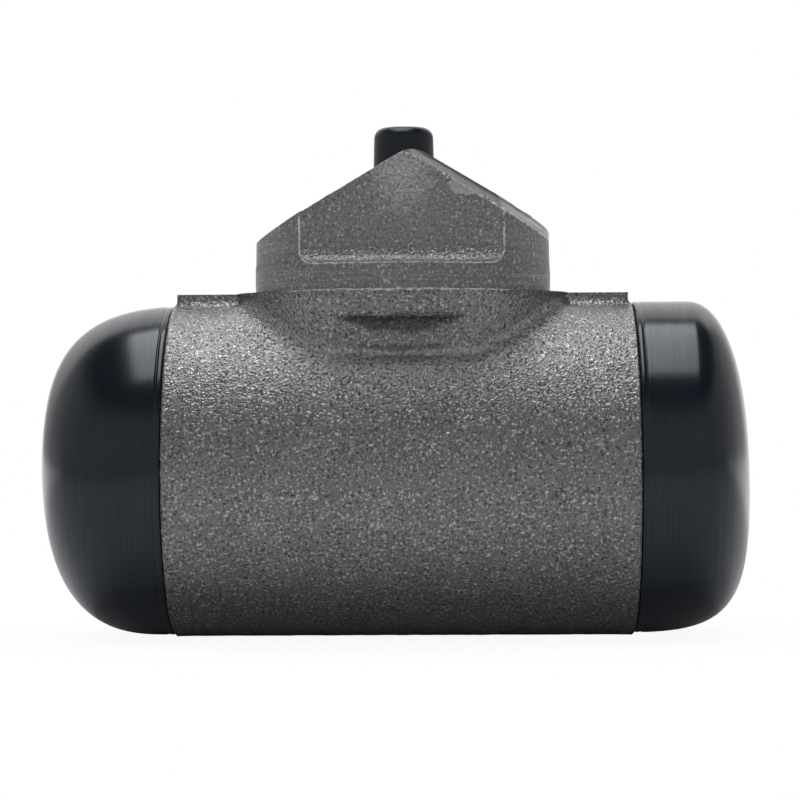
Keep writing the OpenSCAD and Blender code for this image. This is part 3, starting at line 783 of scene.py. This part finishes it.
# Dust: a few pale specks, each in its own cell
dust, entry, result = group("dust", [("Point", "NodeSocketVector"), ("Cells", "NodeSocketFloat")],
                            ["Speck"])
cells = put(dust, "TexVoronoi", {"Vector": entry.outputs["Point"], "Scale": entry.outputs["Cells"]})
chosen = rise(dust, put(dust, "SeparateColor", {0: cells.outputs["Color"]}).outputs[0], 0.6, 0.62)
near_middle = rise(dust, cells.outputs["Distance"], 0.034, 0.018)
dust.links.new(both(dust, near_middle, chosen), result.inputs["Speck"])

boot_rubber, tree, shader, point = new_material("boot_rubber")
around = run_vector(tree, stored(tree, "run"), 7.0, point, (0.0, 0.09, 0.09))
rings = noise(tree, around, 1.0, 2.0, 0.6)
smears = noise(tree, stretched(tree, point, (0.12, 0.2, 0.2)), 1.0, 3.0)
specks = put(tree, "Group", {"Point": point, "Cells": 0.22}, node_tree=dust).outputs["Speck"]
tone = mixed(tree, rise(tree, smears, 0.3, 0.7), (0.0075, 0.0105, 0.0165, 1), (0.0105, 0.014, 0.0215, 1))
tone = mixed(tree, specks, tone, (0.12, 0.125, 0.13, 1))
roughness = scaled(tree, smears, 0.1, scaled(tree, rings, 0.05, 0.13))
set_surface(tree, shader, tone, roughness, 0.0, rings, 0.004)
shader.inputs["Specular IOR Level"].default_value = 0.43
shader.inputs["Specular Tint"].default_value = (0.76, 0.87, 1.0, 1)
tree.links.new(calc(tree, "MULTIPLY", rings, 0.7), shader.inputs["Coat Weight"])
shader.inputs["Coat Roughness"].default_value = 0.18

boots = {
    "left": dict(tip_x=38.52, boot_r=17.74, lift=0.04, top=(18.65, 3.21), bottom=(12.95, 2.65), lag=1,
                 inner_tip=BARREL_END + 12.5, inner_round=10.9),
    "right": dict(tip_x=36.79, boot_r=17.8, lift=0.12, top=(6.33, 2.2), bottom=(17.25, 4.4), lag=3,
                  inner_tip=BARREL_END + 10.5, inner_round=5.7),
}
for side, shape in boots.items():
    points, run = boot_surface(**shape)
    mesh = closed_mesh("boot_" + side + "_skin", points, side == "left")
    store(mesh, "run", run)
    piece("boot_skin_" + side, mesh, boot_rubber, "cylinder", "boot_rubber", "boot_" + side)

# Bleeder screw
# A zinc-plated steel screw whose cone shuts the passage under its hexagon. Its thread is a helical
# ridge on the shank, in a hole a little wider than it; the solid's own node stays for the rest.
SHANK_R = 3.175
SCREW_ROOT_R = SHANK_R - 0.02
SCREW_CREST_R = SHANK_R + 0.05
SCREW_PITCH = 25.4 / 28
SCREW_FROM = -2.0
SCREW_TO = 3.9
zinc, tree, shader, point = new_material("zinc")
spangle = noise(tree, point, 0.9, 3.0, 0.6)
fine = noise(tree, stretched(tree, point, (1.0, 1.0, 7.0)), 1.0, 2.0)
tone = mixed(tree, spangle, (0.5, 0.49, 0.44, 1), (0.64, 0.62, 0.55, 1))
roughness = scaled(tree, spangle, 0.2, scaled(tree, fine, 0.1, 0.14))
set_surface(tree, shader, tone, roughness, 1.0, fine, 0.01)
dress(zinc, "bleeder_screw")
ridge = helical_ridge(SCREW_ROOT_R, SCREW_CREST_R, SCREW_PITCH, SCREW_FROM, SCREW_TO) + (0, BLEEDER_Y, 0)
piece("bleeder_thread", strip_mesh("bleeder_thread", ridge), zinc, "bleeder", "bleeder_steel")

# Bleeder cap
# A small moulded rubber thimble pushed over the bleeder's nipple to keep dirt out.
# Its skirt flares a little toward the foot.
CAP_R = 3.3
CAP_ROUND = 1.2
CAP_BORE_R = 2.5
CAP_FOOT_Z = 9.15
CAP_TOP_Z = 18.9
CAP_INNER_Z = 17.7
CAP_SIDES = 96


def turned_upright(profile, sides):
    """Closed profile of (radius, z) rows turned about the bleeder's axis: points [angle, step]."""
    angle = np.linspace(0, 2 * np.pi, sides, endpoint=False)[:, None]
    r, z = profile.T
    z = np.broadcast_to(z, (sides, len(z)))
    return np.stack([r * np.cos(angle), BLEEDER_Y + r * np.sin(angle), z], axis=2)


quarter = np.linspace(0, np.pi / 2, 9)
shoulder_r = CAP_R - CAP_ROUND * (1 - np.cos(quarter))
shoulder_z = CAP_TOP_Z - CAP_ROUND * (1 - np.sin(quarter))
cap_profile = np.vstack([
    [(CAP_BORE_R, CAP_FOOT_Z), (3.3, CAP_FOOT_Z), (3.45, CAP_FOOT_Z + 0.12), (3.48, CAP_FOOT_Z + 0.4),
     (3.46, CAP_FOOT_Z + 1.0), (3.42, 12.5)],
    np.stack([shoulder_r, shoulder_z], axis=1),
    [(1.2, CAP_TOP_Z - 0.02), (0, CAP_TOP_Z - 0.03), (0, CAP_INNER_Z), (1.8, CAP_INNER_Z),
     (2.4, CAP_INNER_Z - 0.15), (CAP_BORE_R, CAP_INNER_Z - 0.55)]])
cap_rubber, tree, shader, point = new_material("cap_rubber")
mottle = noise(tree, point, 0.9, 3.0)
specks = put(tree, "Group", {"Point": point, "Cells": 0.5}, node_tree=dust).outputs["Speck"]
tone = mixed(tree, mottle, (0.008, 0.01, 0.0125, 1), (0.013, 0.0155, 0.0185, 1))
tone = mixed(tree, specks, tone, grey(0.1))
pores = noise(tree, point, 3.0, 2.0)
set_surface(tree, shader, tone, scaled(tree, mottle, 0.12, 0.24), 0.0, pores, 0.012)
shader.inputs["Specular Tint"].default_value = (0.82, 0.9, 1.0, 1)
cap = closed_mesh("cap_skin", turned_upright(cap_profile, CAP_SIDES))
piece("cap_skin", cap, cap_rubber, "cap", "cap_rubber", "bleeder_cap")

# Floor, light and camera
# The piece stands over a white floor under one wide overhead softbox, with a white sweep behind
# and a dark room in front, and is seen square on from a little to the right.
FLOOR_Z = -36.8
FLOOR_HALF = 2500
floor_mesh = bpy.data.meshes.new("floor")
floor_mesh.from_pydata([(x * FLOOR_HALF * MM, y * FLOOR_HALF * MM, FLOOR_Z * MM)
                        for x, y in ((-1, -1), (1, -1), (1, 1), (-1, 1))], [], [(0, 1, 2, 3)])
floor = bpy.data.objects.new("floor", floor_mesh)
scene.collection.objects.link(floor)
white_floor = bpy.data.materials.new("white_floor")
white_floor.use_nodes = True
tree = white_floor.node_tree
tree.nodes.clear()
rays = put(tree, "LightPath").outputs
# Seen by the camera the floor glows white, with a painted shadow darkened by ambient occlusion near the
# piece
shade = put(tree, "AmbientOcclusion", {"Distance": 30 * MM}, samples=8).outputs["AO"]
seen_tone = mixed(tree, rise(tree, shade, 0.1, 0.85), (0.93, 0.935, 0.94, 1), (1, 1, 1, 1))
seen = put(tree, "Emission", {"Color": seen_tone, "Strength": 1.0}).outputs[0]
lit = put(tree, "BsdfDiffuse", {"Color": (0.85, 0.86, 0.88, 1)}).outputs[0]
floor_axes = put(tree, "SeparateXYZ", {0: put(tree, "TexCoord").outputs["Object"]}).outputs
behind = rise(tree, floor_axes["Y"], 50 * MM, 250 * MM)
mirrored = either(tree, rays["Is Glossy Ray"], rays["Is Transmission Ray"])
shown = either(tree, rays["Is Camera Ray"], both(tree, mirrored, behind))
whole = put(tree, "MixShader", {0: shown, 1: lit, 2: seen})
tree.links.new(whole.outputs[0], put(tree, "OutputMaterial").inputs["Surface"])
floor_mesh.materials.append(white_floor)

world = bpy.data.worlds.new("studio")
scene.world = world
world.use_nodes = True
tree = world.node_tree
tree.nodes.clear()
rays = put(tree, "LightPath").outputs
toward = put(tree, "SeparateXYZ", {0: put(tree, "TexCoord").outputs["Generated"]}).outputs
sweep = both(tree, rise(tree, toward["Y"], 0.53, 0.61), rise(tree, toward["X"], 0.64, 0.4),
             rise(tree, toward["X"], -0.9, -0.62))
sweep = both(tree, sweep, scaled(tree, rise(tree, toward["Z"], 0.0, 0.6), 0.6, 0.4))
room = scaled(tree, rise(tree, toward["Z"], 0.78, 0.5), 0.34, 0.04)
mirrored = either(tree, rays["Is Glossy Ray"], rays["Is Transmission Ray"])
backdrop = both(tree, mirrored, rise(tree, toward["Y"], 0.86, 0.97))
level = either(tree, sweep, room, rays["Is Camera Ray"], backdrop)
background = put(tree, "Background", {"Color": (1, 1, 1, 1), "Strength": level})
tree.links.new(background.outputs[0], put(tree, "OutputWorld").inputs["Surface"])

softbox = bpy.data.lights.new("softbox", "AREA")
softbox.shape = "RECTANGLE"
softbox.size = 300 * MM
softbox.size_y = 454 * MM
softbox.energy = 1.32
softbox_object = bpy.data.objects.new("softbox", softbox)
softbox_object.location = (-46 * MM, 17 * MM, 480 * MM)
scene.collection.objects.link(softbox_object)

TARGET = np.array([-0.386, 0.0, -11.38])
DISTANCE = 300.3
YAW = math.radians(1.1)
ROLL = math.radians(0.31)
FOCAL_PX = 2781
FRAME_PX = 800
ahead = np.array([-math.sin(YAW), math.cos(YAW), 0])
level_right = np.array([math.cos(YAW), math.sin(YAW), 0])
right = level_right * math.cos(ROLL) - np.array([0, 0, math.sin(ROLL)])
up = np.array([0, 0, math.cos(ROLL)]) + level_right * math.sin(ROLL)
camera = bpy.data.cameras.new("camera")
camera.sensor_fit = "HORIZONTAL"
camera.angle = 2 * math.atan(FRAME_PX / 2 / FOCAL_PX)
camera.clip_start = 10 * MM
camera_object = bpy.data.objects.new("camera", camera)
placed = np.eye(4)
placed[:3, :3] = np.stack([right, up, -ahead], axis=1)
placed[:3, 3] = (TARGET - DISTANCE * ahead) * MM
camera_object.matrix_world = Matrix(placed.tolist())
scene.collection.objects.link(camera_object)
scene.camera = camera_object
